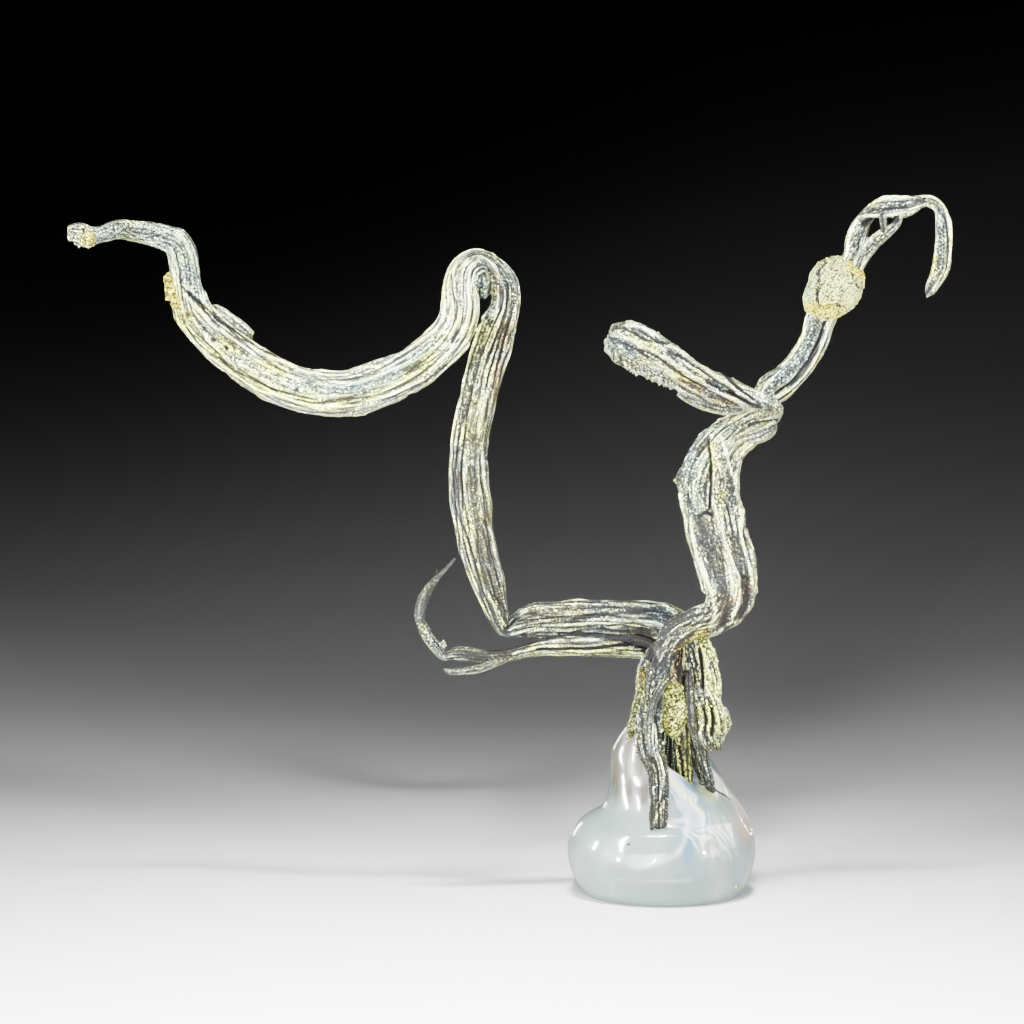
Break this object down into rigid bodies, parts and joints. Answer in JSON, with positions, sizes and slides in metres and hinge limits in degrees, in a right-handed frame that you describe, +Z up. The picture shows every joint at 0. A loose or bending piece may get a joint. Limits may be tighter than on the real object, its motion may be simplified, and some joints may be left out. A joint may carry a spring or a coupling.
{
  "type": "native silver",
  "caption": "Native wire silver: ribbed, curling wires that fork and fold, standing in a set drop of milky mounting glue.",
  "frame": {"origin": "middle of the glue drop's flat underside", "axes": "+Z up out of the glue, +X towards the hooked wire, -Y the side on show"},
  "size_m": [0.0549, 0.0104, 0.0441],
  "materials": {
    "silver": "dull metal with bright ribs and dark grooves",
    "granular_silver": "matt and granular",
    "glue": "glossy and milky"
  },
  "bodies": {
    "root": {"left_arm": "silver", "spur": "silver", "right_arm": "silver", "tendril": "silver", "nodule": "granular_silver", "hook": "silver", "roots": "silver", "glue_base": "glue"}
  },
  "joints": []
}
